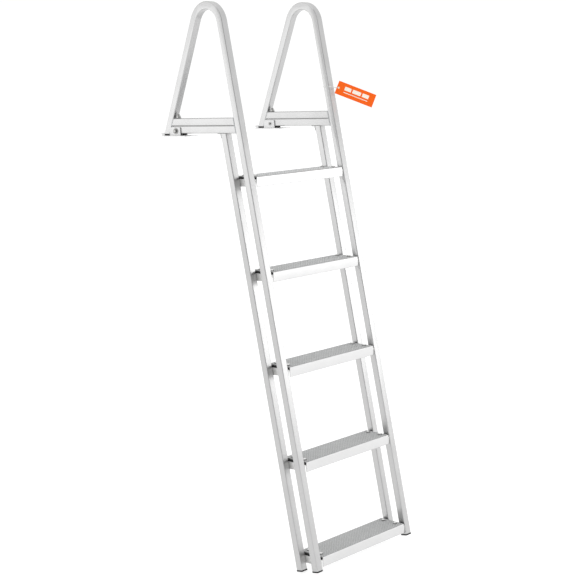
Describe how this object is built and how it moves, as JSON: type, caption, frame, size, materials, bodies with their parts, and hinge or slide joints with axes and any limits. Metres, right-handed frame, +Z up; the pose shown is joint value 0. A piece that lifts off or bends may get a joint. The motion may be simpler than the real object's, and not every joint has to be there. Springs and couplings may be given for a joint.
{
  "type": "boat boarding ladder",
  "caption": "Removable dock and boat boarding ladder with bent square-tube handrails, leaning stiles, channel treads, pinned deck brackets, black end caps and a swing tag.",
  "frame": {"origin": "on the deck surface, in the middle of the eight deck screw holes, halfway between the two side frames", "axes": "+X to the ladder's right seen from the water, -Y towards the water and the climber, +Y over the deck, +Z up"},
  "size_m": [0.5611, 0.6478, 1.8157],
  "materials": {
    "frame_tube": "satin anodised",
    "tread_channel": "satin anodised",
    "bearer_angle": "mill finish",
    "tread_mat": "grey, fine ribs",
    "rubber_strip": "matt",
    "end_cap": "moulded, matt",
    "bracket_steel": "bead-blasted stainless",
    "fastener": "bright stainless",
    "tag_card": "coated card",
    "tag_eyelet": "bright",
    "nylon_loop": "clear nylon"
  },
  "bodies": {
    "ladder": {"handrail_left": "frame_tube", "rear_stile_left": "frame_tube", "upper_bar_left": "frame_tube", "lower_bar_left": "frame_tube", "rear_stile_clip_left": "bracket_steel", "step_bearer_left_1": "bearer_angle", "step_bearer_left_2": "bearer_angle", "step_bearer_left_3": "bearer_angle", "step_bearer_left_4": "bearer_angle", "step_bearer_left_5": "bearer_angle", "bearer_strips_left": "rubber_strip", "foot_cap_front_left": "end_cap", "foot_cap_rear_left": "end_cap", "leg_cap_left": "end_cap", "deck_bracket_left": "bracket_steel", "handrail_right": "frame_tube", "rear_stile_right": "frame_tube", "upper_bar_right": "frame_tube", "lower_bar_right": "frame_tube", "rear_stile_clip_right": "bracket_steel", "step_bearer_right_1": "bearer_angle", "step_bearer_right_2": "bearer_angle", "step_bearer_right_3": "bearer_angle", "step_bearer_right_4": "bearer_angle", "step_bearer_right_5": "bearer_angle", "bearer_strips_right": "rubber_strip", "foot_cap_front_right": "end_cap", "foot_cap_rear_right": "end_cap", "leg_cap_right": "end_cap", "deck_bracket_right": "bracket_steel", "tread_1": "tread_channel", "tread_mat_1": "tread_mat", "tread_2": "tread_channel", "tread_mat_2": "tread_mat", "tread_3": "tread_channel", "tread_mat_3": "tread_mat", "tread_4": "tread_channel", "tread_mat_4": "tread_mat", "tread_5": "tread_channel", "tread_mat_5": "tread_mat", "tread_bolts": "fastener", "tread_washers": "fastener", "tread_nuts": "fastener", "tie_studs": "fastener", "tie_washers": "fastener", "tie_nuts": "fastener", "clip_screws": "fastener", "tag_loop": "nylon_loop"},
    "pin_left": {"release_pin_left": "fastener"},
    "pin_right": {"release_pin_right": "fastener"},
    "tag": {"hang_tag": "tag_card", "tag_eyelet": "tag_eyelet"}
  },
  "joints": [
    {"name": "pin_left_slide", "type": "slide", "parent": "ladder", "child": "pin_left", "axis": [-1, 0, 0], "range_m": [0, 0.045]},
    {"name": "pin_right_slide", "type": "slide", "parent": "ladder", "child": "pin_right", "axis": [1, 0, 0], "range_m": [0, 0.045]},
    {"name": "tag_swing", "type": "hinge", "parent": "ladder", "child": "tag", "pos_m": [0.22839, -0.31296, 0.135], "axis": [0.7009, 0.7133, 0], "range_deg": [-15, 50]}
  ]
}
